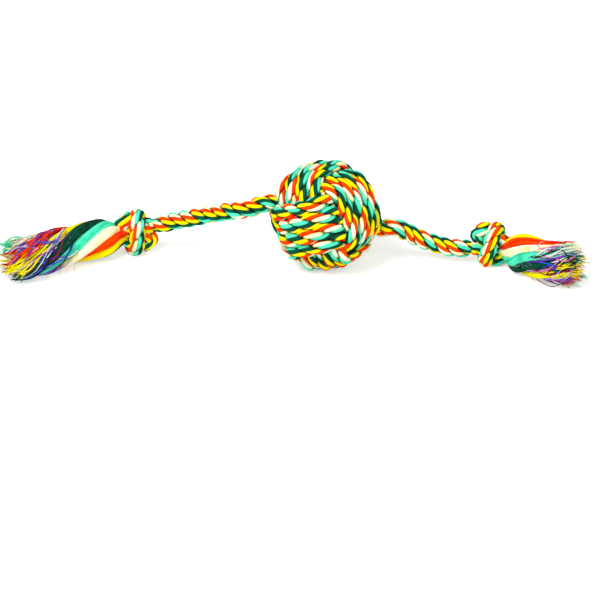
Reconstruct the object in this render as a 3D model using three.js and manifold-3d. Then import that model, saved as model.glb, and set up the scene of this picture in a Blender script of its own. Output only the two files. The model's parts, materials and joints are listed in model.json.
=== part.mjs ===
// Rope dog toy: one thick three-strand rope, wound in its middle into a ball of three crossing bands,
// with an arm, an overhand knot and an unlaid tassel at each side.
// Millimetres, +Z up, +X towards the short arm. The origin is on the floor, under the middle of the toy.
// Places are given from the centre of the ball, and the whole toy is moved to its origin at the end.
import * as THREE from "three";
import Module from "manifold-3d";

const wasm = await Module();
wasm.setup();

const vector = (x, y, z) => new THREE.Vector3(x, y, z);
const UP = vector(0, 0, 1);
const FULL_TURN = 2 * Math.PI;

// Rope, as it lies free in the arms.
const ropeDiameter = 12;
const strandCount = 3;
const strandLay = 25; // along the rope, for one turn of a strand
const strandGap = 0.96;
const strandStartShare = 0.04; // of a turn, from straight up to where the first strand starts
const restGap = 0.35; // left between pieces that touch

// Ball: each band is four passes side by side, pressed flat where the bands cross.
const passWidth = 7.8;
const passThickness = 5.5;
const passGap = 1.16; // between neighbouring passes of a band
const layerClearance = 2.95; // beyond the thickness, where a pass climbs over its neighbours
const coreClearance = 0.6; // under passes that run straight from point to point
const passCount = 4;
const footDepth = 0.5; // pressed flat where the ball stands
const ballYaw = THREE.MathUtils.degToRad(-33);
const ballRoll = THREE.MathUtils.degToRad(24);

const passPitch = passWidth + passGap;
const innerReachShare = 2.874; // radius of the inner layer, in pass pitches
const innerLayerRadius = passPitch * innerReachShare;
const outerLayerRadius = innerLayerRadius + passThickness + layerClearance;
const ballRadius = outerLayerRadius + passThickness / 2;
const coreRadius = innerLayerRadius - passThickness / 2 - coreClearance;
const middleSquarenessShare = 2.54; // how square the middle and the edge passes run, 2 being an ellipse
const edgeSquarenessShare = 4.18;

// Exits: the rope comes out of the ball by two opposite corners, squeezed between the bands.
const neckDiameter = 3.8;
const exitDiameter = 10.4;
const exitStandOff = 1; // from the ball to where the rope turns towards its arm
const exitLead = 3; // from there to the face where the arm starts
const exitDomeRadius = 7; // round end of an arm, about its bend

// Knots: the rope is pulled tight there, so it is thinner.
const knotRopeDiameter = 6.8;
const knotPassGap = 0.6;
const knotDomeRadius = 5; // round end of a knot, about its bend
const knotTail = 3.4; // straight end of the rope on each side of a knot

// Tassels: the five yarns of each strand, unlaid.
const yarnRootDiameter = 2.1;
const yarnTipDiameter = 5.2;
const yarnGap = 0.5;
const tasselDomeRadius = 6.5; // round root of a tassel, about its bend
const tasselLay = 160; // length in which the yarns go once round their tassel
const tasselSpread = 16; // from the root of the tassel, where the yarns are at their full thickness

const ropeSides = 8;
const strandSides = 6;
const ropeStep = 2.4; // between the rings of a curved tube
const yarnSteps = 11;

const colours = {
  orange: 0xe8481c,
  yellow: 0xf0d820,
  green: 0x12493f,
  mint: 0x58d3ae,
  cream: 0xf4eecb,
  core: 0xb9ae92,
};

const cotton = (colour) => new THREE.MeshStandardMaterial({ color: colour, roughness: 0.9, metalness: 0 });

const toy = new THREE.Group();

function addPiece(name, geometry, colour) {
  const mesh = new THREE.Mesh(geometry, cotton(colour));
  mesh.name = name;
  toy.add(mesh);
  return mesh;
}

// A closed tube through rings of equally many points. Each end is a fan about the point given for it.
function tubeThrough(rings, startPoint, endPoint) {
  const sides = rings[0].length;
  const points = [startPoint, ...rings.flat(), endPoint];
  const faces = [];
  const at = (ring, side) => 1 + ring * sides + (side % sides);
  for (let side = 0; side < sides; side++) {
    faces.push(0, at(0, side + 1), at(0, side));
    for (let ring = 0; ring + 1 < rings.length; ring++) {
      faces.push(at(ring, side), at(ring, side + 1), at(ring + 1, side + 1));
      faces.push(at(ring, side), at(ring + 1, side + 1), at(ring + 1, side));
    }
    faces.push(points.length - 1, at(rings.length - 1, side), at(rings.length - 1, side + 1));
  }
  const geometry = new THREE.BufferGeometry().setFromPoints(points);
  geometry.setIndex(faces);
  geometry.computeVertexNormals();
  return geometry;
}

// Six or more points round a centre, across a direction of travel.
function sectionRing(centre, travel, across, halfWidth, halfThickness, sides) {
  const flat = across.clone().addScaledVector(travel, -across.dot(travel)).normalize();
  const rise = travel.clone().cross(flat);
  return Array.from({ length: sides }, (_, side) => {
    const angle = (FULL_TURN * side) / sides;
    return centre
      .clone()
      .addScaledVector(flat, halfWidth * Math.cos(angle))
      .addScaledVector(rise, halfThickness * Math.sin(angle) / roundness(sides));
  });
}

// The height of a ring's highest point, for a radius of one.
const roundness = (sides) => (sides === 6 ? Math.sin(FULL_TURN / sides) : 1);

const meanOf = (points) =>
  points.reduce((sum, point) => sum.add(point), vector(0, 0, 0)).divideScalar(points.length);

const squareEnds = (rings) => tubeThrough(rings, meanOf(rings[0]), meanOf(rings.at(-1)));

// Slides a ring along a rope's axis onto a ball about the bend, so that the end can turn in its seat.
function domed(points, pivot, axis, radius) {
  return points.map((point) => {
    const offset = point.clone().sub(pivot);
    const along = offset.dot(axis);
    const aside2 = offset.lengthSq() - along * along;
    return point.clone().addScaledVector(axis, -Math.sqrt(Math.max(0, radius * radius - aside2)) - along);
  });
}

// Ball

const ballTurn = new THREE.Matrix4()
  .makeRotationZ(ballYaw)
  .multiply(new THREE.Matrix4().makeRotationY(-ballRoll));
// The ball's own axes, through the middles of its right, front and top bands.
const ballAxes = {
  right: vector(1, 0, 0).transformDirection(ballTurn),
  front: vector(0, -1, 0).transformDirection(ballTurn),
  top: vector(0, 0, 1).transformDirection(ballTurn),
};

// A band lies outside the others about its outer axis and under them about its inner axis.
const bands = [
  { name: "side_band", outer: "right", inner: "top", across: "front", colour: colours.yellow },
  { name: "front_band", outer: "front", inner: "right", across: "top", colour: colours.orange },
  { name: "top_band", outer: "top", inner: "front", across: "right", colour: colours.mint },
];

// The band steps from one pass to the next under the band that covers it.
const stepArc = THREE.MathUtils.degToRad(84);
const tuckArc = THREE.MathUtils.degToRad(31); // from the middle of that side to the tucked rope end
const straightEndArc = THREE.MathUtils.degToRad(18); // an end runs straight for about a pass's width
const stepsPerLoop = 24;

function passOffset(turned) {
  const loops = (turned + stepArc / 2) / FULL_TURN;
  const loop = Math.floor(loops);
  const share = THREE.MathUtils.smoothstep((loops - loop) * FULL_TURN, 0, stepArc);
  const pass = THREE.MathUtils.clamp(loop - 1 + share, 0, passCount - 1);
  return (pass - (passCount - 1) / 2) * passPitch;
}

// A point on a band's centre line, turned from the middle of the side where it steps.
function bandPoint(band, turned) {
  const offset = passOffset(turned);
  const edgeShare = THREE.MathUtils.clamp((Math.abs(offset) / passPitch - 0.5) / (passCount / 2 - 1), 0, 1);
  const squareness = THREE.MathUtils.lerp(middleSquarenessShare, edgeSquarenessShare, edgeShare);
  const outerReach = Math.sqrt(outerLayerRadius ** 2 - offset ** 2);
  const innerReach = Math.sqrt(innerLayerRadius ** 2 - offset ** 2);
  const towardsOuter = Math.sin(turned);
  const towardsInner = -Math.cos(turned);
  const reach =
    (Math.abs(towardsOuter / outerReach) ** squareness + Math.abs(towardsInner / innerReach) ** squareness) **
    (-1 / squareness);
  return vector(0, 0, 0)
    .addScaledVector(ballAxes[band.outer], reach * towardsOuter)
    .addScaledVector(ballAxes[band.inner], reach * towardsInner)
    .addScaledVector(ballAxes[band.across], offset);
}

function bandGeometry(band) {
  const end = passCount * FULL_TURN - tuckArc;
  const first = tuckArc + straightEndArc;
  const last = end - straightEndArc;
  const steps = passCount * stepsPerLoop - 4;
  const turns = Array.from({ length: steps + 1 }, (_, step) => first + ((last - first) * step) / steps);
  const centres = [tuckArc, ...turns, end].map((turned) => bandPoint(band, turned));
  const rings = centres.map((centre, index) => {
    const before = centres[Math.max(index - 1, 0)];
    const after = centres[Math.min(index + 1, centres.length - 1)];
    const travel = after.clone().sub(before).normalize();
    return sectionRing(centre, travel, ballAxes[band.across], passWidth / 2, passThickness / 2, 6);
  });
  return squareEnds(rings);
}

// The least gap between a band's neighbouring turns, measured on points of its centre line.
function leastBandGap(band) {
  const samples = passCount * stepsPerLoop * 4;
  const points = Array.from({ length: samples + 1 }, (_, index) =>
    bandPoint(band, tuckArc + ((passCount * FULL_TURN - 2 * tuckArc) * index) / samples),
  );
  const apart = stepsPerLoop * 2;
  let least = Infinity;
  for (let first = 0; first < points.length; first++)
    for (let second = first + apart; second < points.length; second++)
      least = Math.min(least, points[first].distanceTo(points[second]));
  return least - passWidth;
}

// Solids that are cut by the floor.
function solidOf(geometry) {
  const made = new wasm.Mesh({
    numProp: 3,
    vertProperties: new Float32Array(geometry.getAttribute("position").array),
    triVerts: new Uint32Array(geometry.index.array),
  });
  return new wasm.Manifold(made);
}

function geometryOf(solid) {
  const mesh = solid.getMesh();
  const geometry = new THREE.BufferGeometry();
  geometry.setAttribute("position", new THREE.BufferAttribute(mesh.vertProperties, 3));
  geometry.setIndex(new THREE.BufferAttribute(mesh.triVerts, 1));
  geometry.computeVertexNormals();
  return geometry;
}

const bandGeometries = bands.map(bandGeometry);
const lowestOfBall = Math.min(
  ...bandGeometries.map((geometry) => {
    geometry.computeBoundingBox();
    return geometry.boundingBox.min.z;
  }),
);
const floorHeight = lowestOfBall + footDepth;

function cutByFloor(geometry) {
  geometry.computeBoundingBox();
  if (geometry.boundingBox.min.z >= floorHeight) return geometry;
  const block = new THREE.BoxGeometry(4 * ballRadius, 4 * ballRadius, ballRadius);
  block.translate(0, 0, floorHeight - ballRadius / 2);
  const corners = new THREE.BufferGeometry();
  corners.setAttribute("position", block.getAttribute("position"));
  corners.setIndex(block.index);
  return geometryOf(solidOf(geometry).subtract(solidOf(weldedByPlace(corners))));
}

// Joins the points that share a place, so that a box is one closed surface.
function weldedByPlace(geometry) {
  const places = new Map();
  const points = [];
  const position = geometry.getAttribute("position");
  const faces = Array.from(geometry.index.array, (index) => {
    const point = vector(0, 0, 0).fromBufferAttribute(position, index);
    const key = point.toArray().join();
    if (!places.has(key)) {
      places.set(key, points.length);
      points.push(point);
    }
    return places.get(key);
  });
  const welded = new THREE.BufferGeometry().setFromPoints(points);
  welded.setIndex(faces);
  return welded;
}

addPiece("ball_core", new THREE.IcosahedronGeometry(coreRadius, 3), colours.core);
bands.forEach((band, index) => addPiece(band.name, cutByFloor(bandGeometries[index]), band.colour));

// Curves

const curveThrough = (points) => new THREE.CatmullRomCurve3(points, false, "centripetal");

// The place, heading, rise and side of a curve at a length along it. Rise, side and heading are right-handed.
function frameAt(curve, length) {
  const share = THREE.MathUtils.clamp(length / curve.getLength(), 0, 1);
  const heading = curve.getTangentAt(share);
  const side = heading.clone().cross(UP).normalize();
  const rise = side.clone().cross(heading);
  return { place: curve.getPointAt(share), heading, rise, side };
}

const evenly = (from, to, step) => {
  const count = Math.max(2, Math.round((to - from) / step));
  return Array.from({ length: count + 1 }, (_, index) => from + ((to - from) * index) / count);
};

// Slides points along a heading onto the plane through a face.
const squared = (points, face, heading) =>
  points.map((point) => point.clone().addScaledVector(heading, heading.dot(face.clone().sub(point))));

// Round rings about a curve, with a radius for each length along it.
function roundRings(curve, lengths, radiusAt, sides) {
  return lengths.map((length) => {
    const { place, heading, side } = frameAt(curve, length);
    return sectionRing(place, heading, side, radiusAt(length), radiusAt(length), sides);
  });
}

// Arms

// Half the thickness of a strand, when the strands fill the rope's round and just clear each other.
function strandRadius() {
  let thin = 0;
  let thick = ropeDiameter / 2;
  for (let round = 0; round < 30; round++) {
    const radius = (thin + thick) / 2;
    if (strandSpacing(ropeDiameter / 2 - radius) > 2 * radius + strandGap) thin = radius;
    else thick = radius;
  }
  return thin;
}

// The least distance between two neighbouring strands that wind at this radius.
function strandSpacing(windRadius) {
  let least = Infinity;
  for (let step = -90; step <= 90; step++) {
    const turn = THREE.MathUtils.degToRad(step);
    const chord = 2 * windRadius * Math.sin((FULL_TURN / strandCount + turn) / 2);
    least = Math.min(least, Math.hypot(chord, (strandLay * turn) / FULL_TURN));
  }
  return least;
}

const halfStrand = strandRadius();
const windRadius = ropeDiameter / 2 - halfStrand;
const lower = (radius, aside) => radius - Math.sqrt(radius * radius - aside * aside);

// One strand of an arm, from the round end about the arm's bend to the square end at the knot.
function strandGeometry(curve, bend, number) {
  const length = curve.getLength();
  const first = lower(exitDomeRadius, windRadius);
  const windAt = (along) => {
    const { place, rise, side } = frameAt(curve, along);
    const angle = FULL_TURN * (along / strandLay + number / strandCount + strandStartShare);
    return place
      .addScaledVector(rise, windRadius * Math.cos(angle))
      .addScaledVector(side, windRadius * Math.sin(angle));
  };
  const small = ropeStep / 10;
  const rings = evenly(first, length, ropeStep).map((along) => {
    const ahead = Math.min(along + small, length);
    const travel = windAt(ahead).sub(windAt(ahead - small)).normalize();
    const outwards = windAt(along).sub(frameAt(curve, along).place);
    return sectionRing(windAt(along), travel, outwards, halfStrand, halfStrand, strandSides);
  });
  const end = frameAt(curve, length);
  rings[0] = domed(rings[0], bend.place, bend.heading, exitDomeRadius);
  rings[rings.length - 1] = squared(rings.at(-1), end.place, end.heading);
  const [startPoint] = domed([meanOf(rings[0])], bend.place, bend.heading, exitDomeRadius);
  return tubeThrough(rings, startPoint, meanOf(rings.at(-1)));
}

// The rope between the core and the face where an arm starts, through a corner between the bands.
function exitGeometry(corner, face, heading) {
  const curve = curveThrough([
    corner.clone().multiplyScalar(coreRadius + restGap),
    corner.clone().multiplyScalar(innerLayerRadius),
    corner.clone().multiplyScalar(outerLayerRadius),
    face.clone().addScaledVector(heading, -exitLead),
    face,
  ]);
  const length = curve.getLength();
  const widensFrom = innerLayerRadius + passThickness - coreRadius;
  const radiusAt = (along) => {
    const share = Math.max(0, (along - widensFrom) / (length - widensFrom));
    return THREE.MathUtils.lerp(neckDiameter, exitDiameter, share ** 3) / 2;
  };
  const rings = roundRings(curve, evenly(0, length, ropeStep), radiusAt, ropeSides);
  rings[rings.length - 1] = squared(rings.at(-1), face, heading);
  return squareEnds(rings);
}

// Knots

const knotPitch = knotRopeDiameter + knotPassGap;
const knotWraps = 1.5;

// An overhand knot: two parts side by side along its middle, and the rope wrapped round both between them.
// Places are given along the knot, up and aside, in the rope's pitch within the knot.
function knotRoute() {
  const partShare = 0.5;
  const wrapRiseShare = 1.42;
  const wrapSideShare = 1.1;
  const wrapEndShare = (knotWraps * 1.04) / 2;
  const points = [
    [-1.1, 0.36, 0],
    [-0.5, partShare, 0],
    [0.2, partShare, 0],
    [wrapEndShare, partShare, 0],
    [wrapEndShare + 0.5, (partShare + wrapRiseShare) / 2, 0],
  ];
  const wrapSteps = 12;
  for (let step = 0; step <= wrapSteps; step++) {
    const share = step / wrapSteps;
    const angle = FULL_TURN * (knotWraps * share + 1 / 4);
    points.push([
      wrapEndShare * (1 - 2 * share),
      wrapRiseShare * Math.sin(angle),
      wrapSideShare * Math.cos(angle),
    ]);
  }
  const back = points.slice(0, 5).map(([along, up, aside]) => [-along, -up, aside]);
  return [...points, ...back.reverse()];
}

function knotGeometry(entry, entryHeading, centre, exit, exitHeading) {
  const heading = exit.clone().sub(entry).normalize();
  const aside = UP.clone().cross(heading).normalize();
  const up = heading.clone().cross(aside);
  const route = knotRoute().map(([along, rise, across]) =>
    centre
      .clone()
      .addScaledVector(heading, along * knotPitch)
      .addScaledVector(up, rise * knotPitch)
      .addScaledVector(aside, across * knotPitch),
  );
  const curve = curveThrough([
    entry,
    entry.clone().addScaledVector(entryHeading, knotTail),
    ...route,
    exit.clone().addScaledVector(exitHeading, -knotTail),
    exit,
  ]);
  const lengths = evenly(0, curve.getLength(), ropeStep);
  // The rings keep their twist small by carrying their side from one to the next.
  let carried = aside.clone();
  const rings = lengths.map((length) => {
    const { place, heading: travel } = frameAt(curve, length);
    carried = carried.addScaledVector(travel, -carried.dot(travel)).normalize();
    return sectionRing(place, travel, carried, knotRopeDiameter / 2, knotRopeDiameter / 2, strandSides);
  });
  const pivot = entry.clone().addScaledVector(entryHeading, knotDomeRadius);
  rings[0] = domed(rings[0], pivot, entryHeading, knotDomeRadius);
  rings[rings.length - 1] = squared(rings.at(-1), exit, exitHeading);
  return tubeThrough(rings, entry, exit);
}

// Tassels

// The yarns of a tassel lie in two rings. Ten outer yarns straddle the five inner ones.
const innerRingShare = 0.9; // radius of a ring, in yarn pitches
const outerRingShare = 1.88;
const yarnColours = ["orange", "yellow", "green", "mint", "cream"];
const yarnRingOf = (ringShare, ringCount, first) =>
  yarnColours.map((_, place) => ({ ringShare, angle: (-FULL_TURN * (place + first)) / ringCount }));
const innerYarnCount = yarnColours.length;
const outerYarnCount = 2 * innerYarnCount;
const yarnPlaces = [
  ...yarnRingOf(innerRingShare, innerYarnCount, 0),
  ...yarnRingOf(outerRingShare, outerYarnCount, 1 / 2),
  ...yarnRingOf(outerRingShare, outerYarnCount, innerYarnCount + 1 / 2),
];
const yarnLengthShares = [1, 0.93, 0.97, 0.9, 0.96, 0.91, 0.99, 0.94, 0.88, 0.98, 0.92, 0.96, 0.89, 1, 0.95];

function yarnGeometry(curve, bend, { ringShare, angle }, lengthShare) {
  const total = curve.getLength();
  const rootAside = ringShare * (yarnRootDiameter + yarnGap);
  const first = lower(tasselDomeRadius, rootAside);
  const last = total * lengthShare;
  const thicknessAt = (along) =>
    THREE.MathUtils.lerp(yarnRootDiameter, yarnTipDiameter, THREE.MathUtils.smoothstep(along, 0, tasselSpread));
  const lieAt = (along) => {
    const { place, rise, side } = frameAt(curve, along);
    const aside = ringShare * (thicknessAt(along) + yarnGap);
    const turned = angle - (FULL_TURN * along) / tasselLay;
    return place.addScaledVector(rise, aside * Math.cos(turned)).addScaledVector(side, aside * Math.sin(turned));
  };
  const small = total / 100;
  const rings = evenly(first, last, (last - first) / yarnSteps).map((along) => {
    const travel = lieAt(along + small).sub(lieAt(along)).normalize();
    const half = thicknessAt(along) / 2;
    return sectionRing(lieAt(along), travel, frameAt(curve, along).side, half, half, strandSides);
  });
  rings[0] = domed(rings[0], bend.place, bend.heading, tasselDomeRadius);
  const [startPoint] = domed([meanOf(rings[0])], bend.place, bend.heading, tasselDomeRadius);
  return tubeThrough(rings, startPoint, meanOf(rings.at(-1)));
}

const turnedBy = (place, turn) => ({ ringShare: place.ringShare, angle: place.angle + turn });

// The two sides of the toy. The routes of the rope are chosen by hand, from the centre of the ball.
const sides = [
  {
    name: "left",
    corner: ballAxes.front.clone().add(ballAxes.top).sub(ballAxes.right).normalize(),
    heading: vector(-0.93, -0.1, -0.33),
    armRoute: [vector(-8.8, 0.6, -2.3), vector(-22.1, 7.7, -7.3), vector(-40.4, 16.9, -14.7), vector(-56.8, 23.4, -21)],
    armEnd: vector(-67.8, 26.6, -24.7),
    knotCentre: vector(-81.6, 24.9, -29.5),
    knotEnd: vector(-95.4, 22.2, -31),
    tasselRoute: [vector(-122.1, 6.4, -29.6), vector(-145.6, -11.6, -29.8), vector(-168.6, -23.1, -29.9)],
    firstYarnAngle: THREE.MathUtils.degToRad(134),
  },
  {
    name: "right",
    corner: ballAxes.right.clone().sub(ballAxes.front).sub(ballAxes.top).normalize(),
    heading: vector(0.97, -0.03, 0.1),
    armRoute: [vector(9.4, 2.9, -5.2), vector(17.3, 2.9, -9.3), vector(28, 2.9, -13.3), vector(39.4, 2.4, -15.9)],
    armEnd: vector(50.4, 1.8, -15.7),
    knotCentre: vector(64.2, -0.1, -12.2),
    knotEnd: vector(77.6, -3.7, -14.3),
    tasselRoute: [vector(87.6, -13, -13.8), vector(101.6, -27, -12.6), vector(122.6, -34.5, -12.8)],
    firstYarnAngle: THREE.MathUtils.degToRad(255),
  },
];

const bends = [];

for (const side of sides) {
  const heading = side.heading.clone().normalize();
  const face = side.corner
    .clone()
    .multiplyScalar(ballRadius + exitStandOff)
    .addScaledVector(heading, exitLead);
  addPiece(side.name + "_exit_rope", exitGeometry(side.corner, face, heading), colours.green);

  const bend = face.clone().addScaledVector(heading, restGap + exitDomeRadius);
  const armStart = face.clone().addScaledVector(heading, restGap);
  const armEnd = side.armEnd.clone().add(bend);
  const curve = curveThrough([armStart, ...side.armRoute.map((point) => point.clone().add(bend)), armEnd]);
  const armBend = { place: bend, heading };
  const strandColours = ["orange", "mint", "cream"];
  for (let number = 0; number < strandCount; number++)
    addPiece(
      side.name + "_strand_" + (number + 1),
      strandGeometry(curve, armBend, number),
      colours[strandColours[number % strandColours.length]],
    );

  const knotHeading = frameAt(curve, curve.getLength()).heading;
  const entry = armEnd.clone().addScaledVector(knotHeading, restGap);
  const centre = side.knotCentre.clone().add(bend);
  const exit = side.knotEnd.clone().add(bend);
  const tasselPoints = side.tasselRoute.map((point) => point.clone().add(bend));
  const tasselHeading = tasselPoints[0].clone().sub(exit).normalize();
  addPiece(side.name + "_knot", knotGeometry(entry, knotHeading, centre, exit, tasselHeading), colours.yellow);

  const tasselStart = exit.clone().addScaledVector(tasselHeading, restGap);
  const tasselBend = {
    place: tasselStart.clone().addScaledVector(tasselHeading, tasselDomeRadius),
    heading: tasselHeading,
  };
  const tasselCurve = curveThrough([tasselStart, tasselBend.place, ...tasselPoints]);
  yarnPlaces.forEach((place, index) => {
    const colour = yarnColours[index % yarnColours.length];
    addPiece(
      side.name + "_yarn_" + colour + "_" + (Math.floor(index / yarnColours.length) + 1),
      yarnGeometry(tasselCurve, tasselBend, turnedBy(place, side.firstYarnAngle), yarnLengthShares[index]),
      colours[colour],
    );
  });

  bends.push(
    { name: side.name + "_arm", place: bend, axis: heading.clone().cross(UP).normalize() },
    { name: side.name + "_knot", place: entry.clone().addScaledVector(knotHeading, knotDomeRadius), axis: UP },
    {
      name: side.name + "_tassel",
      place: tasselBend.place,
      axis: tasselHeading.clone().cross(UP).normalize(),
    },
  );
}

const bounds = new THREE.Box3().setFromObject(toy);
const middle = bounds.getCenter(vector(0, 0, 0));
toy.position.set(-middle.x, -middle.y, -bounds.min.z);

for (const band of bands) console.log(band.name, "least gap to itself", leastBandGap(band).toFixed(2), "mm");
for (const { name, place, axis } of bends) {
  const metres = place.clone().add(toy.position).divideScalar(1000);
  console.log(name, "bends at", metres.toArray().map((value) => value.toFixed(5)).join(" "),
    "about", axis.toArray().map((value) => value.toFixed(4)).join(" "));
}

export default toy;
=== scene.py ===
"""The looks of a rope dog toy.

One thick cotton rope: its middle is wound into a ball, and each side has an arm, an overhand knot and a frayed
tassel. The rope has three strands, laid right-handed, and each strand has five dyed yarns.
"""
import json
import math

import bpy
import numpy as np
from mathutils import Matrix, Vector


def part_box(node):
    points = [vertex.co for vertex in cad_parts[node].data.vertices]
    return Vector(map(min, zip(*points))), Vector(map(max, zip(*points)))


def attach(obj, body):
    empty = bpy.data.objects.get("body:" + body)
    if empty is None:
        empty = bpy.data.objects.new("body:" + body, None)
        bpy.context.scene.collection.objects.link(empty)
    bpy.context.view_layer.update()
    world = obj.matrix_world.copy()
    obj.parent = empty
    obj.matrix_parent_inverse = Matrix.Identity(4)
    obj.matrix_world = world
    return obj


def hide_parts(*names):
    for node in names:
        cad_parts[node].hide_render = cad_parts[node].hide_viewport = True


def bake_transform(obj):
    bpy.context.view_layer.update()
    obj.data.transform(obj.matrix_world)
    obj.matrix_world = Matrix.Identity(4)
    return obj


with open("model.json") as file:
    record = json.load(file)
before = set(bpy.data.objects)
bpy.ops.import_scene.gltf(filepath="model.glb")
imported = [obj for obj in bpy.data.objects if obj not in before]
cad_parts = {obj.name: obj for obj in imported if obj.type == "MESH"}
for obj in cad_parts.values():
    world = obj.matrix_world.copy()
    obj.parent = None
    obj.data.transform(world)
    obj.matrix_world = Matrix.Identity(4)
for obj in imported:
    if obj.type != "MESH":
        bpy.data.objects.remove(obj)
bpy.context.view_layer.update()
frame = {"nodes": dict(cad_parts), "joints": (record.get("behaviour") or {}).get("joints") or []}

MM = 0.001
TURN = 2 * math.pi
UP = np.array([0.0, 0.0, 1.0])
rng = np.random.default_rng(7)


# ---- the camera ----

PIXEL = 0.67 * MM  # of the photograph, at the ball
PICTURE = 600  # pixels, both ways
VIEW_ABOVE_FLOOR = math.radians(25)
LENS_MM = 200
SENSOR_MM = 36
VIEW_REACH = 20  # metres, past the far edge of the floor
BALL_CENTRE = np.array(sum(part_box("ball_core"), Vector())) / 2
BALL_FOOT_PIXEL = (325, 265.8)  # where the ball meets the floor


def place_camera():
    """A long lens in front of the toy and above it, aimed so that the toy lies where the photograph has it."""
    up = np.array([0, math.sin(VIEW_ABOVE_FLOOR), math.cos(VIEW_ABOVE_FLOOR)])
    back = np.array([0, -math.cos(VIEW_ABOVE_FLOOR), math.sin(VIEW_ABOVE_FLOOR)])
    aim = BALL_CENTRE * [1, 1, 0]
    aim[0] += (PICTURE / 2 - BALL_FOOT_PIXEL[0]) * PIXEL
    aim -= (PICTURE / 2 - BALL_FOOT_PIXEL[1]) * PIXEL * up
    lens = bpy.data.cameras.new("long_lens")
    lens.lens = LENS_MM
    lens.sensor_width = SENSOR_MM
    lens.clip_end = VIEW_REACH
    camera = bpy.data.objects.new("camera", lens)
    camera.location = aim + back * PICTURE * PIXEL * LENS_MM / SENSOR_MM
    camera.rotation_mode = "QUATERNION"
    camera.rotation_quaternion = Vector(-back).to_track_quat("-Z", "Y")
    bpy.context.scene.collection.objects.link(camera)
    bpy.context.scene.camera = camera


place_camera()


# ---- curves ----

CURVE_POINTS = 24  # worked out between two given points of a smooth path


def unit(vectors):
    """The same directions, at length one."""
    return vectors / np.linalg.norm(vectors, axis=-1, keepdims=True)


def across_part(vectors, travel):
    """What is left of the vectors when their part along the travel is taken away, at length one."""
    return unit(vectors - travel * np.sum(vectors * travel, axis=-1, keepdims=True))


def lengths_along(path):
    """How far each point of a path lies from its start, along it."""
    return np.concatenate([[0], np.cumsum(np.linalg.norm(np.diff(path, axis=0), axis=1))])


def spaced(path, step):
    """The same line with its points a step apart."""
    along = lengths_along(path)
    wanted = np.linspace(0, along[-1], max(3, round(along[-1] / step) + 1))
    return np.stack([np.interp(wanted, along, path[:, axis]) for axis in range(3)], axis=1)


def smooth_path(points, step):
    """Points a step apart on one smooth curve through the given points."""
    points = np.array(points, float)
    padded = np.vstack([2 * points[0] - points[1], points, 2 * points[-1] - points[-2]])
    share = np.linspace(0, 1, CURVE_POINTS, endpoint=False)[:, None]
    line = []
    for before, start, end, after in zip(padded, padded[1:], padded[2:], padded[3:]):
        first, middle, last = (np.linalg.norm(b - a) ** 0.5 for a, b in ((before, start), (start, end), (end, after)))
        leave = (start - before) / first - (end - before) / (first + middle) + (end - start) / middle
        arrive = (end - start) / middle - (after - start) / (middle + last) + (after - end) / last
        line.append(
            start * (2 * share**3 - 3 * share**2 + 1)
            + leave * middle * (share**3 - 2 * share**2 + share)
            + end * (3 * share**2 - 2 * share**3)
            + arrive * middle * (share**3 - share**2)
        )
    return spaced(np.vstack([*line, points[-1:]]), step)


def travel_of(path):
    """The direction of a path at each of its points."""
    return unit(np.gradient(path, axis=0))


def level_frame(path):
    """The side and the rise of a path: rise, side and travel are square to each other and right-handed."""
    travel = travel_of(path)
    side = unit(np.cross(travel, UP))
    return side, np.cross(side, travel)


def carried_frame(path, first_side):
    """A side that is carried along a path with as little twist as it allows, and the direction square to it."""
    travel = travel_of(path)
    side = np.empty_like(path)
    carried = np.array(first_side, float)
    for number, heading in enumerate(travel):
        carried = carried - heading * carried.dot(heading)
        carried /= np.linalg.norm(carried)
        side[number] = carried
    return side, np.cross(travel, side)


def eased(values, start, end):
    """From nought to one with soft ends, as the values go from start to end."""
    share = np.clip((values - start) / (end - start), 0, 1)
    return share * share * (3 - 2 * share)


def rising(least, share):
    """From least to one, as the share goes from nought to one."""
    return least + (1 - least) * share


def swaying(turns, size, waves, start):
    """A slow wave, with so many waves in a turn."""
    return size * np.sin(TURN * (waves * turns + start))


# ---- meshes ----

RUN = "yarn_run"  # the UV map with a yarn's length and girth, in metres
SHADE = "crease_shade"  # painted shade: one on the crest of a yarn, less in the creases where shadow lies; in the tassels also a random tone from ply to ply
SHARP_EDGE = math.radians(50)  # faces that meet at more than this are shaded as an edge
NEARLY_UP = UP + 0.01  # never quite along a path


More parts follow.
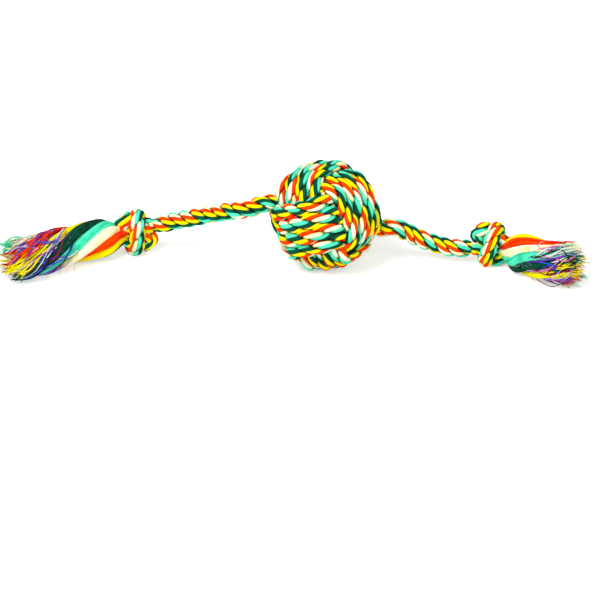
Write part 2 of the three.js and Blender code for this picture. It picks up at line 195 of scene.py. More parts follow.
def make_piece(name, tubes, finishes):
    """One mesh of closed tubes. A tube is its rings, the finish of each of its columns, its girth and its painted
    shade.
    """
    corners, faces, face_finish, run, shades = [], [], [], [], []
    first = 0
    for rings, column_finish, girth, shade in tubes:
        count, columns = rings.shape[:2]
        index = first + np.arange(count * columns).reshape(count, columns)
        onward = np.roll(index, -1, axis=1)
        quads = np.stack([index[:-1], onward[:-1], onward[1:], index[1:]], axis=-1).reshape(-1, 4)
        along = lengths_along(rings.mean(axis=1))
        around = girth * np.arange(columns + 1) / columns
        low, high = (np.broadcast_to(edge, (count - 1, columns)) for edge in (around[:-1], around[1:]))
        near, far = (np.broadcast_to(edge[:, None], (count - 1, columns)) for edge in (along[:-1], along[1:]))
        run.append(np.stack([near, low, near, high, far, high, far, low], axis=-1).reshape(-1, 2))
        run.append(np.zeros((2 * columns, 2)))
        corners.append(rings.reshape(-1, 3))
        shades.append(np.broadcast_to(shade, (count, columns)).ravel())
        faces += quads.tolist() + [index[0, ::-1].tolist(), index[-1].tolist()]
        face_finish.append(np.tile(column_finish, count - 1))
        face_finish.append([column_finish[0]] * 2)
        first += count * columns
    mesh = bpy.data.meshes.new(name)
    mesh.from_pydata(np.vstack(corners), [], faces)
    mesh.uv_layers.new(name=RUN).data.foreach_set("uv", np.vstack(run).astype(np.float32).ravel())
    # the painted shade of each point, which the yarn materials read
    crease_shade = mesh.attributes.new(SHADE, "FLOAT", "POINT")
    crease_shade.data.foreach_set("value", np.concatenate(shades).astype(np.float32))
    for finish in finishes:
        mesh.materials.append(finish)
    mesh.polygons.foreach_set("material_index", np.concatenate(face_finish).astype(np.int32))
    mesh.polygons.foreach_set("use_smooth", np.ones(len(mesh.polygons), bool))
    mesh.set_sharp_from_angle(angle=SHARP_EDGE)
    piece = bpy.data.objects.new(name, mesh)
    bpy.context.scene.collection.objects.link(piece)
    return piece


def round_tube(path, radii, columns, first_side=NEARLY_UP):
    """Rings of one thin tube along a path."""
    side, other = carried_frame(path, first_side)
    angles = TURN * np.arange(columns) / columns
    return path[:, None] + radii[:, None, None] * (
        np.cos(angles)[:, None] * side[:, None] + np.sin(angles)[:, None] * other[:, None]
    )


# ---- finishes ----


def linear(code):
    """A colour's linear parts, from its sRGB hex code."""
    parts = [int(code[place : place + 2], 16) / 255 for place in (0, 2, 4)]
    return [part / 12.92 if part <= 0.04045 else ((part + 0.055) / 1.055) ** 2.4 for part in parts] + [1]


def add_node(finish, kind, links=None, **settings):
    """A node with its settings. Inputs are linked or filled by name or number."""
    node = finish.node_tree.nodes.new(kind)
    for name, value in settings.items():
        setattr(node, name, value)
    for name, value in (links or {}).items():
        if isinstance(value, bpy.types.NodeSocket):
            finish.node_tree.links.new(value, node.inputs[name])
        else:
            node.inputs[name].default_value = value
    return node


def emptied(holder):
    """The same material or world, with no nodes yet."""
    holder.use_nodes = True
    holder.node_tree.nodes.clear()
    return holder


def blended(finish, share, first, second):
    """A colour that goes from the first to the second with the share."""
    mix = add_node(finish, "ShaderNodeMix", {0: share, 6: first, 7: second}, data_type="RGBA")
    return mix.outputs[2]


PLY_WIDTH = 0.55 * MM  # of the plies that show as lines along a yarn
PLY_RUN = 7 * MM  # how far such a line runs before it is covered
FIBRE_WIDTH = 0.14 * MM
FIBRE_RUN = 1.6 * MM
BLEND_SIZE = 9 * MM  # of the slow changes in how deep the dye is
PLY_SLANT = math.radians(4)
SHADE_IN_COLOUR_DEPTH = 0.8  # how much a crease's painted shade deepens the colour, beside the plies and the slow changes
DYE_AND_SHADE_DEEP, DYE_AND_SHADE_FULL = 1.35, 1.8  # the sums of those three at which the colour is deep and full
UNSHADED_ABOVE = 0.6  # the shade above which no painted shade darkens the colour
LEAST_LIGHT = 0.05  # of the dyed colour that is left deep in a crease, under the painted shade
FIBRE_RELIEF = 0.45  # of a ply's relief
YARN_RELIEF = 0.3 * MM
CREASE_SHADOW = "0A0805"  # the colour of the painted shadow deep between two strands


def drawn_out(finish, length, width, detail):
    """Fine lines that run along a yarn."""
    run = add_node(finish, "ShaderNodeUVMap", uv_map=RUN)
    stretch = add_node(
        finish,
        "ShaderNodeMapping",
        {"Vector": run.outputs[0], "Rotation": (0, 0, PLY_SLANT), "Scale": (1 / length, 1 / width, 1)},
    )
    lines = add_node(
        finish,
        "ShaderNodeTexNoise",
        {"Vector": stretch.outputs[0], "Scale": 1, "Detail": detail},
        noise_dimensions="2D",
    )
    return lines.outputs[0]


def spotted(finish, size, detail):
    """Slow changes from place to place."""
    place = add_node(finish, "ShaderNodeTexCoord")
    spots = add_node(
        finish, "ShaderNodeTexNoise", {"Vector": place.outputs["Object"], "Scale": 1 / size, "Detail": detail}
    )
    return spots.outputs[0]


def spun_cotton(name, colour, deep_colour):
    """Dyed, soft-spun cotton: matte, with plies and fibres that run along the yarn and a faint fur at its edges.
    Painted shade from the mesh deepens and darkens its colour in the creases.
    """
    finish = emptied(bpy.data.materials.new(name))
    ply_lines = drawn_out(finish, PLY_RUN, PLY_WIDTH, 2)
    fibre_lines = drawn_out(finish, FIBRE_RUN, FIBRE_WIDTH, 1)
    depth = add_node(finish, "ShaderNodeMath", {0: ply_lines, 1: spotted(finish, BLEND_SIZE, 2)}, operation="ADD")
    # painted shade: the colour goes deep where the mesh marks a crease
    shade = add_node(finish, "ShaderNodeAttribute", attribute_name=SHADE).outputs["Fac"]
    shaded = add_node(
        finish, "ShaderNodeMath", {0: shade, 1: SHADE_IN_COLOUR_DEPTH, 2: depth.outputs[0]}, operation="MULTIPLY_ADD"
    )
    share = add_node(
        finish, "ShaderNodeMapRange", {"Value": shaded.outputs[0], "From Min": DYE_AND_SHADE_DEEP, "From Max": DYE_AND_SHADE_FULL}
    )
    dyed = blended(finish, share.outputs[0], linear(deep_colour), linear(colour))
    # painted shadow: the colour goes towards near black deep in the creases
    light = add_node(
        finish, "ShaderNodeMapRange", {"Value": shade, "From Max": UNSHADED_ABOVE, "To Min": LEAST_LIGHT}
    )
    height = add_node(
        finish, "ShaderNodeMath", {0: fibre_lines, 1: FIBRE_RELIEF, 2: ply_lines}, operation="MULTIPLY_ADD"
    )
    relief = add_node(
        finish, "ShaderNodeBump", {"Strength": 0.7, "Distance": YARN_RELIEF, "Height": height.outputs[0]}
    )
    shader = add_node(
        finish,
        "ShaderNodeBsdfPrincipled",
        {
            "Base Color": blended(finish, light.outputs[0], linear(CREASE_SHADOW), dyed),
            "Roughness": 0.88,
            "IOR": 1.5,
            "Specular IOR Level": 0.03,
            "Sheen Weight": 0.02,
            "Sheen Roughness": 0.5,
            "Normal": relief.outputs[0],
        },
    )
    add_node(finish, "ShaderNodeOutputMaterial", {"Surface": shader.outputs[0]})
    return finish


YARN_NAMES = ["orange", "yellow", "green", "mint", "cream"]
YARN_FINISHES = [
    spun_cotton("orange_spun_cotton", "FF4C00", "F02000"),
    spun_cotton("yellow_spun_cotton", "FFFA00", "FCE400"),
    spun_cotton("green_spun_cotton", "0C543E", "043022"),
    spun_cotton("mint_spun_cotton", "5AFACC", "26C498"),
    spun_cotton("cream_spun_cotton", "FFFEE2", "F8E88C"),
]
SCRAP_FINISHES = [
    spun_cotton("purple_scrap_thread", "6A35B8", "3E1A86"),
    spun_cotton("blue_scrap_thread", "3560D8", "1A3CA8"),
    spun_cotton("pink_scrap_thread", "EE7CC8", "C8489E"),
    spun_cotton("lavender_scrap_thread", "C9B8F6", "9C86DC"),
    spun_cotton("white_scrap_thread", "FFFFFF", "E8ECEC"),
    spun_cotton("black_scrap_thread", "1A1620", "08060A"),
    spun_cotton("wine_scrap_thread", "A01240", "600A28"),
]


# ---- rope ----

STRANDS = 3
YARN_COLUMNS = 6  # of faces round a strand, for each yarn
GROOVE_SHARE = 0.2  # of a strand's radius, how deep the groove between two yarns is
GROOVE_POWER = 2.4  # the higher, the flatter the yarns and the narrower the grooves
GROOVE_SHADE = 0.35  # how much darker the bottom of such a groove is painted, as shade
GROOVE_SHADE_POWER = 5
CREASE_SHADE = 0.04  # what is left of the painted shade deep between two strands
CUT_END_SHADE = 0.15  # painted shade on the cut ends, which lie hidden in the next part of the rope
FLOOR_CLEARANCE = 0.1 * MM


def strand_turns(along, lay):
    """How far the strands of a rope have gone round it, at each length along it."""
    return TURN * along / lay


def laid_rope(path, across, wind, strand_radius, turned, yarn_turns, facing, shown, order, crease):
    """Tubes for the strands of a rope. The strands wind from across towards the direction square to it.

    wind is how far a strand's middle lies from the rope's, across and out. turned is how far the strands have gone
    round, and the yarns go round in their strand the other way, yarn_turns as fast. facing is the angle of the side
    whose colour is given: shown is that colour's number at each point, for each strand. order is 1 or -1, the way
    round in which the colours follow each other. crease is how far out, in shares of the rope's reach, the creases
    between strands are dark and where their shade ends.
    """
    out = np.cross(travel_of(path), across)
    wide, high = (np.broadcast_to(reach, len(path))[:, None] for reach in wind)
    strand_radius = np.broadcast_to(strand_radius, len(path))[:, None]
    columns = len(YARN_NAMES) * YARN_COLUMNS
    spot = np.arange(columns)
    in_yarn = np.abs(2 * (spot % YARN_COLUMNS) / YARN_COLUMNS - 1)
    profile = 1 - GROOVE_SHARE * in_yarn**GROOVE_POWER
    around = TURN * (spot / columns - 0.5 / len(YARN_NAMES))
    finish = (order * (spot // YARN_COLUMNS)) % len(YARN_NAMES)
    tubes = []
    for strand in range(STRANDS):
        angle = turned - TURN * strand / STRANDS
        outwards = across * np.cos(angle)[:, None] * wide + out * np.sin(angle)[:, None] * high
        line = path + outwards
        strand_travel = travel_of(line)
        radial = across_part(outwards, strand_travel)
        round_way = np.cross(strand_travel, radial)
        start = yarn_turns * (facing - angle) - TURN * order * shown[strand] / len(YARN_NAMES)
        spin = around[None] + start[:, None]
        rings = line[:, None] + (strand_radius * profile[None])[..., None] * (
            np.cos(spin)[..., None] * radial[:, None] + np.sin(spin)[..., None] * round_way[:, None]
        )
        aside = rings - path[:, None]
        reach = np.hypot(
            np.sum(aside * across[:, None], axis=-1) / (wide + strand_radius),
            np.sum(aside * out[:, None], axis=-1) / (high + strand_radius),
        )
        # painted shade: darkest deep between two strands, darker at the bottom of each groove between yarns, and on
        # the cut ends
        shade = rising(CREASE_SHADE, eased(reach, *crease)) * (1 - GROOVE_SHADE * in_yarn**GROOVE_SHADE_POWER)
        shade[[0, -1]] *= CUT_END_SHADE
        rings[..., 2] = np.maximum(rings[..., 2], FLOOR_CLEARANCE)
        tubes.append((rings, finish, TURN * float(strand_radius.max()), shade))
    return tubes


# ---- the ball ----

BALL_YAW = math.radians(-33)
BALL_ROLL = math.radians(24)
PASSES = 4  # turns of rope side by side in a band
PASS_PITCH = 9.1 * MM  # from one of them to the next
INNER_LAYER = 24.4 * MM  # from the ball's centre to the middle of a rope that lies under another band
OUTER_LAYER = 31.4 * MM
PASS_WIND = (2.65 * MM, 2.3 * MM)  # from the rope's middle to a strand's, across and out
PASS_STRAND = 3.15 * MM  # a strand's radius
MIDDLE_SQUARENESS = 2.54  # how square the round of a turn is in the middle of a band, and at its edge
EDGE_SQUARENESS = 4.18
STEP_ARC = math.radians(84)  # in which the rope steps from one turn to the next, under the other band
TUCK_ARC = math.radians(31)  # left out at both ends of a band, where they are hidden
HUMPS_IN_A_TURN = 16.5  # of the strands, so that the humps of one turn lie between those of the next
BAND_POINTS = 900
BALL_STEP = 1.3 * MM
THICKNESS_WAVES = [(0.06, 1.7, 0.2), (0.04, 4.3, 0.6)]  # size in shares of the radius, waves in a turn, start
UNEVEN_LAY = (0.5, 0.9, 0.1)  # the same of the slow changes in how far the strands have turned
BALL_YARN_TURNS = 2.4
OUTWARDS = math.radians(90)
# where the painted shade of the creases between strands starts and ends, in shares of the rope's reach
BALL_CREASE_SHADE = (0.66, 0.84)
BETWEEN_TURNS_SHADE = 0.12  # painted shade, low down between two turns of rope
SHADED_HEIGHT = 0.5  # of the rope's, above its middle, where that painted shade ends


def ball_directions():
    """The ball's own right, front and top, as it lies turned and tilted."""
    yaw, roll = BALL_YAW, BALL_ROLL
    right = [math.cos(yaw) * math.cos(roll), math.sin(yaw) * math.cos(roll), math.sin(roll)]
    front = [math.sin(yaw), -math.cos(yaw), 0]
    top = [-math.cos(yaw) * math.sin(roll), -math.sin(yaw) * math.sin(roll), math.cos(roll)]
    return {"right": np.array(right), "front": np.array(front), "top": np.array(top)}


DIRECTIONS = ball_directions()


def band_path(outer, inner, across):
    """The line of one band: four turns side by side, which step under the band that covers them, and the turns
    made so far at each of its points."""
    turned = np.linspace(TUCK_ARC, PASSES * TURN - TUCK_ARC, BAND_POINTS)
    loops = (turned + STEP_ARC / 2) / TURN
    whole = np.floor(loops)
    turn_number = np.clip(whole - 1 + eased((loops - whole) * TURN, 0, STEP_ARC), 0, PASSES - 1)
    offset = (turn_number - (PASSES - 1) / 2) * PASS_PITCH
    edge = np.clip((np.abs(offset) / PASS_PITCH - 0.5) / (PASSES / 2 - 1), 0, 1)
    squareness = MIDDLE_SQUARENESS + (EDGE_SQUARENESS - MIDDLE_SQUARENESS) * edge
    towards_outer, towards_inner = np.sin(turned), -np.cos(turned)
    outer_reach, inner_reach = (np.sqrt(layer**2 - offset**2) for layer in (OUTER_LAYER, INNER_LAYER))
    reach = (
        np.abs(towards_outer / outer_reach) ** squareness + np.abs(towards_inner / inner_reach) ** squareness
    ) ** (-1 / squareness)
    points = (
        (reach * towards_outer)[:, None] * DIRECTIONS[outer]
        + (reach * towards_inner)[:, None] * DIRECTIONS[inner]
        + offset[:, None] * DIRECTIONS[across]
    )
    path = spaced(points, BALL_STEP)
    along = lengths_along(points)
    turns = np.interp(np.linspace(0, along[-1], len(path)), along, turned) / TURN
    return BALL_CENTRE + path, turns


def make_band(name, outer, inner, across, order, first_colour, colours_in_a_turn, strand_colours):
    """One band of the ball, as laid rope.

    Colours are numbers in YARN_NAMES: the first on top, how many come to the top in a turn, and how far each strand
    is ahead of that.
    """
    path, turns = band_path(outer, inner, across)
    travel = travel_of(path)
    out = across_part(path - BALL_CENTRE, travel)
    thickness = sum((swaying(turns, *wave) for wave in THICKNESS_WAVES), start=1)
    turned = TURN * turns * HUMPS_IN_A_TURN / STRANDS + swaying(turns, *UNEVEN_LAY)
    colour = first_colour + colours_in_a_turn * turns
    tubes = laid_rope(
        path,
        np.cross(out, travel),
        PASS_WIND,
        PASS_STRAND * thickness,
        turned,
        BALL_YARN_TURNS,
        OUTWARDS,
        [colour + shift for shift in strand_colours],
        order,
        BALL_CREASE_SHADE,
    )
    # painted shade: darker low down, between two turns of rope
    for number, (rings, finish, girth, shade) in enumerate(tubes):
        height = np.sum((rings - path[:, None]) * out[:, None], axis=-1) / (PASS_WIND[1] + PASS_STRAND)
        shade = shade * rising(BETWEEN_TURNS_SHADE, eased(height, 0, SHADED_HEIGHT))
        tubes[number] = rings, finish, girth, shade
    band = make_piece(name + "_rope", tubes, YARN_FINISHES)
    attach(band, "ball")
    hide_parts(name)


# ---- the two sides ----

ROPE_RADIUS = 6.1 * MM
ARM_WIND = 0.57  # of the rope's radius, from its middle to the middle of a strand
ARM_STRAND = 0.46  # of the rope's radius
ARM_LAY = 25 * MM
ARM_STEP = 0.7 * MM
ARM_YARN_TURNS = 2.05
ROPE_ORDER = -1  # of the yarns' colours in the arms and knots
# where the painted shade of the creases between strands starts and ends, in shares of the rope's reach
STRAND_CREASE_SHADE = (0.62, 0.82)
EXIT_REACH = 7.35 * MM  # from the ball's exit face to the bend of an arm
START_IN_BALL = (28 * MM, 33 * MM)  # from its centre, the first two points of an arm
END_IN_KNOT = 3.5 * MM
PRESSED_IN_BALL = 0.72  # of the radius, and where along the arm the rope comes up to its full thickness
OUT_OF_BALL = (4 * MM, 12 * MM)
PRESSED_IN_KNOT = 0.55  # the same at the arm's other end, from there
OUT_OF_KNOT = (0, 7 * MM)


def places(*points):
    """Points that are given in millimetres."""
    return [np.array(point) * MM for point in points]


# Routes from each arm's bend, as in the solid model. Colours are numbers in YARN_NAMES: the first and last that
# faces the viewer along the arm and along the knot, and how far each strand is ahead of that.
SIDES = {
    "left": {
        "corner": unit(DIRECTIONS["front"] + DIRECTIONS["top"] - DIRECTIONS["right"]),
        "heading": unit(np.array([-0.93, -0.1, -0.33])),
        "arm": places(
            (-8.8, 0.6, -2.3), (-22.1, 7.7, -7.3), (-40.4, 16.9, -14.7), (-56.8, 23.4, -21), (-67.8, 26.6, -24.7)
        ),
        "knot": places((-81.6, 24.9, -29.5), (-95.4, 22.2, -31)),
        "tassel": places((-122.1, 6.4, -29.6), (-145.6, -11.6, -29.8), (-168.6, -23.1, -29.9)),
        "first_yarn": math.radians(134),
        "facing": math.radians(-90),
        "tassel_facing": math.radians(-80),
        "knot_swell": 1.08,
        "wrap_side": 1,
        "knot_colours": (0, 3),
        "colours": (2.4, 1.0),
        "strand_colours": (0, 0.3, 1.1),
    },
    "right": {
        "corner": unit(DIRECTIONS["right"] - DIRECTIONS["front"] - DIRECTIONS["top"]),
        "heading": unit(np.array([0.97, -0.03, 0.1])),
        "arm": places(
            (9.4, 2.9, -5.2), (17.3, 2.9, -9.3), (28, 2.9, -13.3), (39.4, 2.4, -15.9), (50.4, 1.8, -15.7)
        ),
        "knot": places((64.2, -0.1, -12.2), (77.6, -3.7, -14.3)),
        "tassel": places((87.6, -13, -13.8), (101.6, -27, -12.6), (122.6, -34.5, -12.8)),
        "first_yarn": math.radians(255),
        "facing": math.radians(90),
        "tassel_facing": math.radians(80),
        "knot_swell": 1.03,
        "wrap_side": -1,
        "knot_colours": (1.5, 4.5),
        "colours": (0.8, 0.1),
        "strand_colours": (0, -0.2, -2.5),
    },
}
BENDS = {joint["name"]: np.array(joint["pos_m"]) for joint in frame["joints"]}


def make_arm(side, facts):
    """The rope from deep in the ball's corner to inside the knot."""
    bend = BENDS[side + "_arm_lift"]
    face = bend - facts["heading"] * EXIT_REACH
    entry = bend + facts["arm"][-1]
    knot_heading = unit(entry - (bend + facts["arm"][-2]))
    inside = [BALL_CENTRE + facts["corner"] * reach for reach in START_IN_BALL]
    outside = [bend + point for point in facts["arm"]]
    path = smooth_path([*inside, face, bend, *outside, entry + knot_heading * END_IN_KNOT], ARM_STEP)
    _, rise = level_frame(path)
    along = lengths_along(path)
    radius = ROPE_RADIUS * rising(PRESSED_IN_BALL, eased(along, *OUT_OF_BALL))
    radius *= rising(PRESSED_IN_KNOT, eased(along[-1] - along, *OUT_OF_KNOT))
    shown = np.interp(along, [0, along[-1]], facts["colours"])
    tubes = laid_rope(
        path,
        rise,
        (ARM_WIND * radius, ARM_WIND * radius),
        ARM_STRAND * radius,
        strand_turns(along, ARM_LAY),
        ARM_YARN_TURNS,
        facts["facing"],
        [shown + shift for shift in facts["strand_colours"]],
        ROPE_ORDER,
        STRAND_CREASE_SHADE,
    )
    arm = make_piece(side + "_arm_rope", tubes, YARN_FINISHES)
    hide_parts(side + "_exit_rope", *[side + "_strand_" + str(number + 1) for number in range(STRANDS)])
    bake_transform(arm)
    return arm, path


KNOT_PITCH = 7.4 * MM  # between two parts of the rope that lie side by side
KNOT_WIND = 2.45 * MM
KNOT_STRAND = 2.9 * MM
KNOT_LAY = 24 * MM
KNOT_STEP = 0.9 * MM
KNOT_YARN_TURNS = 2.1
KNOT_FACING = 0  # the side to which the wraps go round
KNOT_STRAND_COLOURS = (0, 0.3, 1)
KNOT_WRAPS = 1.5
KNOT_WRAP_PITCH = 1.04  # this and the next two are in pitches
KNOT_WRAP_RISE = 1.42
KNOT_WRAP_SIDE = 1.1
KNOT_WRAP_STEPS = 12
KNOT_LEAN = 0.3  # of their height, how far the wraps lean along the knot
KNOT_TAIL = 3.4 * MM
KNOT_END = 6 * MM  # along which the rope comes up to its full size
KNOT_END_WIND = 0.7  # of the full one
KNOT_END_STRAND = 0.8


def knot_route():
    """An overhand knot, in pitches along, up and aside: two parts side by side and the rope wrapped round both."""
    end = KNOT_WRAPS * KNOT_WRAP_PITCH / 2
    half = (0.5 + KNOT_WRAP_RISE) / 2
    lead = [(-1.1, 0.36, 0), (-0.5, 0.5, 0), (0.2, 0.5, 0), (end, 0.5, 0), (end + 0.5, half, 0)]
    wraps = []
    for step in range(KNOT_WRAP_STEPS + 1):
        share = step / KNOT_WRAP_STEPS
        angle = TURN * (KNOT_WRAPS * share + 0.25)
        wraps.append((end * (1 - 2 * share), KNOT_WRAP_RISE * math.sin(angle), KNOT_WRAP_SIDE * math.cos(angle)))
    route = np.array(lead + wraps + [(-along, -up, aside) for along, up, aside in reversed(lead)])
    route[:, 0] -= KNOT_LEAN * (route[:, 1] - np.clip(route[:, 1], -0.5, 0.5))
    return route


def make_knot(side, facts):
    """An overhand knot of laid rope, from the end of the arm to the root of the tassel."""
    bend = BENDS[side + "_arm_lift"]
    arm_end = bend + facts["arm"][-1]
    centre, leave = (bend + point for point in facts["knot"])
    entry_heading = unit(BENDS[side + "_knot_swing"] - arm_end)
    leave_heading = unit(BENDS[side + "_tassel_lift"] - leave)
    heading = unit(leave - arm_end)
    aside = facts["wrap_side"] * unit(np.cross(UP, heading))
    rise = np.cross(heading, aside)
    route = [
        centre + KNOT_PITCH * (along * heading + up * rise + out * aside) for along, up, out in knot_route()
    ]
    path = smooth_path(
        [arm_end, arm_end + entry_heading * KNOT_TAIL, *route, leave - leave_heading * KNOT_TAIL, leave], KNOT_STEP
    )
    across, _ = carried_frame(path, aside)
    along = lengths_along(path)
    in_knot = eased(along, 0, KNOT_END) * eased(along[-1] - along, 0, KNOT_END)
    swell = facts["knot_swell"]
    wind = swell * KNOT_WIND * rising(KNOT_END_WIND, in_knot)
    shown = np.interp(along, [0, along[-1]], facts["knot_colours"])
    tubes = laid_rope(
        path,
        across,
        (wind, wind),
        swell * KNOT_STRAND * rising(KNOT_END_STRAND, in_knot),
        strand_turns(along, KNOT_LAY),
        KNOT_YARN_TURNS,
        KNOT_FACING,
        [shown + shift for shift in KNOT_STRAND_COLOURS],
        ROPE_ORDER,
        STRAND_CREASE_SHADE,
    )
    knot = make_piece(side + "_knot_rope", tubes, YARN_FINISHES)
    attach(knot, side + "_knot")
    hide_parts(side + "_knot")
    return knot


# ---- the tassels ----

YARN_ROOT = 2.4 * MM  # how thick a yarn is in the knot, and well out of it
YARN_FULL = 5.2 * MM
YARN_SWELLS = (-7 * MM, 11 * MM)  # along the tassel, where it goes from the one to the other
YARN_GAP = 0.5 * MM
YARN_RINGS = [(0.9, 5, 0), (1.88, 10, 0.5)]  # radius in yarn pitches, number of yarns, and how far round in places
YARN_WIDE, YARN_HIGH = 0.5, 0.33  # of its thickness, as a yarn is a flat bundle of plies
YARN_TWIST = 0.35  # turns at most, to its tip
YARN_STRAY = 0.9 * MM
YARN_SWERVE = 0.16  # radians round the tassel
TASSEL_LAY = 160 * MM
TASSEL_INSIDE = 5 * MM  # how far into the knot the yarns are shown
LENGTH_SHARES = [1, 0.93, 0.97, 0.9, 0.96, 0.91, 0.99, 0.94, 0.88, 0.98, 0.92, 0.96, 0.89, 1, 0.95]
PLIES = 14  # in a yarn, two of them in its middle
OUTER_PLIES = PLIES - 2
INNER_PLY_REACH = 0.3  # of the others' distance from the yarn's middle
PLY_RADIUS = 0.95 * MM
PLY_TAPER = 0.5  # of its radius, at the tip
PLY_POINTS = 44
PLIES_LOOSE = 0.5  # of the length, where they begin to come apart
PLIES_SWELL = 0.4  # of the thickness, how much wider they are at the tip
PLY_COLUMNS = 7
THREAD_COLUMNS = 3
SCRAP_COLUMNS = 5
FRAY_THREADS = 6  # at the end of each ply
SCRAPS = 15  # in the yarns of each colour
HAIRS = 8
HAIR_RADIUS = 0.12 * MM


def wander(share, size, fewest=0.4, most=1.5):
    """A slow random wave, none at the root."""
    waves = sum(swaying(share, rng.uniform(0.4, 1), rng.uniform(fewest, most), rng.uniform()) for _ in range(3))
    return size * (waves - waves[0]) / 2


def above_floor(path, radius):
    """The same path, raised where its tube would go through the floor."""
    path[:, 2] = np.maximum(path[:, 2], radius + FLOOR_CLEARANCE)
    return path


def lie_in_tassel(base, along, aside, angle):
    """A line in a tassel, aside from its middle at an angle from the top, and its outward direction."""
    whole = lengths_along(base)
    place = np.stack([np.interp(along + TASSEL_INSIDE, whole, base[:, axis]) for axis in range(3)], axis=1)
    side_way, rise = level_frame(place)
    turned = angle - TURN * np.maximum(along, 0) / TASSEL_LAY
    out = rise * np.cos(turned)[:, None] + side_way * np.sin(turned)[:, None]
    return place + out * aside[:, None], out


def thread(start, way, reach, radius):
    """One fine loose thread with a random curl."""
    share = np.linspace(0, 1, 6)
    curl = unit(np.cross(way, rng.normal(size=3))) * rng.uniform(0, 0.4)
    line = start + reach * (way * share[:, None] + curl * share[:, None] ** 2)
    return round_tube(above_floor(line, radius), radius * (1 - 0.5 * share), THREAD_COLUMNS)


def frayed_end(path, radius, finish):
    """Fine threads that come out of the end of a ply."""
    heading = unit(path[-1] - path[-4])
    tubes = []
    for _ in range(FRAY_THREADS):
        start = path[-1 - rng.integers(1, 4)] + rng.normal(size=3) * radius * 0.4
        way = unit(heading + 0.2 * rng.normal(size=3))
        fine = rng.uniform(0.14, 0.3) * MM
        rings = thread(start, way, rng.uniform(3, 8) * MM, fine)
        tubes.append((rings, np.full(THREAD_COLUMNS, finish), TURN * fine, 1))
    return tubes


def yarn_tubes(base, ring, angle, length):
    """The plies of one unlaid yarn: a soft flat bundle, which comes apart towards its frayed tip."""
    along = np.linspace(-TASSEL_INSIDE, length, PLY_POINTS)
    share = np.clip(along / length, 0, 1)
    loose = eased(share, PLIES_LOOSE, 1)
    thickness = YARN_ROOT + (YARN_FULL - YARN_ROOT) * eased(along, *YARN_SWELLS)
    aside = ring * (thickness + YARN_GAP) + wander(share, YARN_STRAY)
    line, out = lie_in_tassel(base, along, aside, angle + wander(share, YARN_SWERVE))
    travel = travel_of(line)
    out = across_part(out, travel)
    over = np.cross(travel, out)
    twist = rng.uniform(-YARN_TWIST, YARN_TWIST)
    tubes = []
    for ply in range(PLIES):
        spin = TURN * (ply / OUTER_PLIES + twist * share)
        reach = thickness * (1 + PLIES_SWELL * loose) * (1 if ply < OUTER_PLIES else INNER_PLY_REACH)
        wide = YARN_WIDE * reach * np.cos(spin) + wander(share, 2.2 * MM, 1, 3) * loose
        high = YARN_HIGH * reach * np.sin(spin) + wander(share, 1.6 * MM, 1, 3) * loose
        keep = round(PLY_POINTS * rng.uniform(0.86, 1))
        radius = (PLY_RADIUS * thickness / YARN_FULL * (1 - PLY_TAPER * loose))[:keep]
        path = above_floor((line + over * wide[:, None] + out * high[:, None])[:keep], radius)
        # painted shade on the under side and flanks of each flat bundle, fading out towards the loose tips, times a
        # random tone from ply to ply
        shade = rng.uniform(0.5, 1) * rising(0.3, eased(np.sin(spin), -0.7, 0.4) ** (1 - loose))[:keep, None]
        rings = round_tube(path, radius, PLY_COLUMNS, out[0])
        tubes.append((rings, np.zeros(PLY_COLUMNS, int), TURN * PLY_RADIUS, shade))
        tubes += frayed_end(path, radius[-1], 0)
    return tubes


def scrap_thread(base, length, facing):
    """One thin thread of another colour, as is mixed into yarn spun from waste."""
    share = np.linspace(rng.uniform(0.4, 0.65), rng.uniform(0.8, 1), 20)
    angle = facing + TURN * share.mean() * length / TASSEL_LAY + rng.normal(0, 0.85)
    aside = rng.uniform(11, 13.2) * MM + wander(share, 2 * MM, 0.6, 2.5)
    line, _ = lie_in_tassel(base, share * length, aside, angle + wander(share, 0.6, 0.6, 2.5))
    radius = rng.uniform(0.22, 0.5) * MM
    ends = np.sqrt(np.clip(10 * np.minimum(share - share[0], share[-1] - share) + 0.05, 0, 1))
    finish = np.full(SCRAP_COLUMNS, rng.integers(1, len(SCRAP_FINISHES) + 1))
    return round_tube(above_floor(line, radius), radius * ends, SCRAP_COLUMNS), finish, TURN * radius, 0.9


def stray_hair(base, length):
    """One fine hair that stands off the tassel."""
    along = rng.uniform(0.3, 0.96) * length + np.array([0, 1, 2]) * MM
    line, out = lie_in_tassel(base, along, np.full(3, 11 * MM), rng.uniform(0, TURN) + np.zeros(3))
    way = unit(unit(line[2] - line[0]) + out[0] * rng.uniform(0.3, 0.9) + 0.3 * rng.normal(size=3))
    rings = thread(line[0], way, rng.uniform(6, 16) * MM, HAIR_RADIUS)
    return rings, np.full(THREAD_COLUMNS, rng.integers(1, len(SCRAP_FINISHES))), 1 * MM, 1


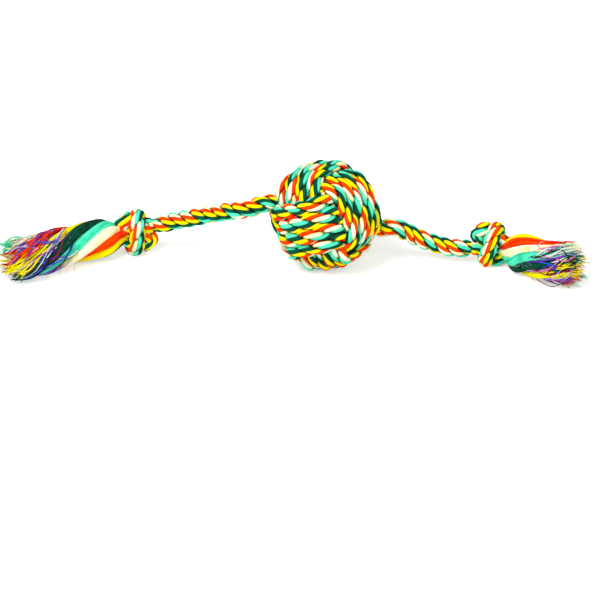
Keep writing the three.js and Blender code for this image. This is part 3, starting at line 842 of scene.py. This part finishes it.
def make_tassel(side, facts):
    """Fifteen unlaid yarns, one mesh for each colour, with the scrap threads and hairs shared out among them."""
    bend = BENDS[side + "_arm_lift"]
    leave = bend + facts["knot"][-1]
    root_bend = BENDS[side + "_tassel_lift"]
    heading = unit(root_bend - leave)
    route = smooth_path([leave, root_bend, *[bend + point for point in facts["tassel"]]], 1 * MM)
    length = lengths_along(route)[-1]
    base = np.vstack([[leave - heading * TASSEL_INSIDE], route])
    yarns = [
        (ring, facts["first_yarn"] - TURN * (place + shift) / count)
        for ring, count, shift in YARN_RINGS
        for place in range(count)
    ]
    pieces = []
    for colour, name in enumerate(YARN_NAMES):
        tubes = []
        for number in range(colour, len(yarns), len(YARN_NAMES)):
            tubes += yarn_tubes(base, *yarns[number], length * LENGTH_SHARES[number])
        tubes += [scrap_thread(base, length, facts["tassel_facing"]) for _ in range(SCRAPS)]
        tubes += [stray_hair(base, length) for _ in range(HAIRS)]
        piece = make_piece(side + "_tassel_" + name, tubes, [YARN_FINISHES[colour], *SCRAP_FINISHES])
        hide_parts(*[side + "_yarn_" + name + "_" + str(number) for number in (1, 2, 3)])
        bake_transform(piece)
        pieces.append(piece)
    return pieces


for side, facts in SIDES.items():
    arm, arm_path = make_arm(side, facts)
    knot = make_knot(side, facts)
    tassel = make_tassel(side, facts)

make_band("side_band", "right", "top", "front", 1, 1.5, -4.6, (0, -1.3, 0.8))
make_band("front_band", "front", "right", "top", -1, 2.0, 4.4, (0, -0.2, 1))
make_band("top_band", "top", "front", "right", -1, 4.6, 5.1, (0, 0.8, -0.6))


# ---- the core ----

LUMP_SIZE = 2 * MM
LUMP_RELIEF = 0.5 * MM


def packed_cotton():
    """Cotton waste, packed tight: dull and lumpy, its colour painted dark brown as the shadow deep inside the ball. It
    is hardly seen between the bands.
    """
    finish = emptied(bpy.data.materials.new("packed_cotton_waste"))
    lumps = spotted(finish, LUMP_SIZE, 4)
    # painted shadow: lumps of dark brown, as the filling lies in deep shade between the bands
    shown = blended(finish, lumps, linear("2A221A"), linear("5A4C3A"))
    relief = add_node(finish, "ShaderNodeBump", {"Strength": 0.8, "Distance": LUMP_RELIEF, "Height": lumps})
    shader = add_node(
        finish,
        "ShaderNodeBsdfPrincipled",
        {"Base Color": shown, "Roughness": 0.95, "Specular IOR Level": 0.2, "Normal": relief.outputs[0]},
    )
    add_node(finish, "ShaderNodeOutputMaterial", {"Surface": shader.outputs[0]})
    return finish


core = frame["nodes"]["ball_core"]
core.data.materials.clear()
core.data.materials.append(packed_cotton())


# ---- the floor and the light ----

FLOOR_HALF = 4  # metres
FLOOR_DROP = 0.02 * MM  # so that the toy's lowest points don't lie in the floor
SKY_LIGHT = 0.38  # how strongly the white room lights the toy, beside the lamps
LAMP_AIM = Vector((0, 0, 0.03))


def white_floor():
    """Matte white studio floor, which keeps the toy's shadow and shows white to the camera."""
    finish = emptied(bpy.data.materials.new("studio_floor"))
    ray = add_node(finish, "ShaderNodeLightPath")
    shader = add_node(
        finish,
        "ShaderNodeBsdfPrincipled",
        {"Base Color": linear("F4F4F4"), "Roughness": 0.9, "Specular IOR Level": 0.1},
    )
    glow = add_node(finish, "ShaderNodeEmission", {"Color": (1, 1, 1, 1), "Strength": 0.5})
    both = add_node(finish, "ShaderNodeAddShader", {0: shader.outputs[0], 1: glow.outputs[0]})
    shown = add_node(
        finish,
        "ShaderNodeMixShader",
        {0: ray.outputs["Is Camera Ray"], 1: shader.outputs[0], 2: both.outputs[0]},
    )
    add_node(finish, "ShaderNodeOutputMaterial", {"Surface": shown.outputs[0]})
    return finish


def make_floor():
    """A large square floor, which is there for the picture only."""
    mesh = bpy.data.meshes.new("studio_floor")
    corners = [(x * FLOOR_HALF, y * FLOOR_HALF, 0) for x, y in ((-1, -1), (1, -1), (1, 1), (-1, 1))]
    mesh.from_pydata(corners, [], [(0, 1, 2, 3)])
    mesh.materials.append(white_floor())
    floor = bpy.data.objects.new("studio_floor", mesh)
    floor.location.z = -FLOOR_DROP
    bpy.context.scene.collection.objects.link(floor)


def make_lamp(name, place, size, power):
    """A square softbox that is aimed at the toy."""
    lamp = bpy.data.lights.new(name, "AREA")
    lamp.size = size
    lamp.energy = power
    holder = bpy.data.objects.new(name, lamp)
    holder.location = place
    holder.rotation_mode = "QUATERNION"
    holder.rotation_quaternion = (LAMP_AIM - Vector(place)).to_track_quat("-Z", "Y")
    bpy.context.scene.collection.objects.link(holder)


def light_room():
    """A white room all round and two large lamps in front: a strong one at the upper left, a weak one at the right."""
    world = emptied(bpy.data.worlds.new("white_room"))
    bpy.context.scene.world = world
    ray = add_node(world, "ShaderNodeLightPath")
    seen = add_node(
        world,
        "ShaderNodeMath",
        {0: ray.outputs["Is Camera Ray"], 1: ray.outputs["Is Glossy Ray"]},
        operation="MAXIMUM",
    )
    strength = add_node(world, "ShaderNodeMapRange", {"Value": seen.outputs[0], "To Min": SKY_LIGHT})
    sky = add_node(world, "ShaderNodeBackground", {"Color": (1, 1, 1, 1), "Strength": strength.outputs[0]})
    add_node(world, "ShaderNodeOutputWorld", {"Surface": sky.outputs[0]})
    make_lamp("key_softbox", (-0.7, -0.9, 1.3), 0.8, 22)
    make_lamp("fill_softbox", (0.9, -1.1, 0.8), 1.0, 8)


make_floor()
light_room()
bpy.context.scene.view_settings.view_transform = "Standard"
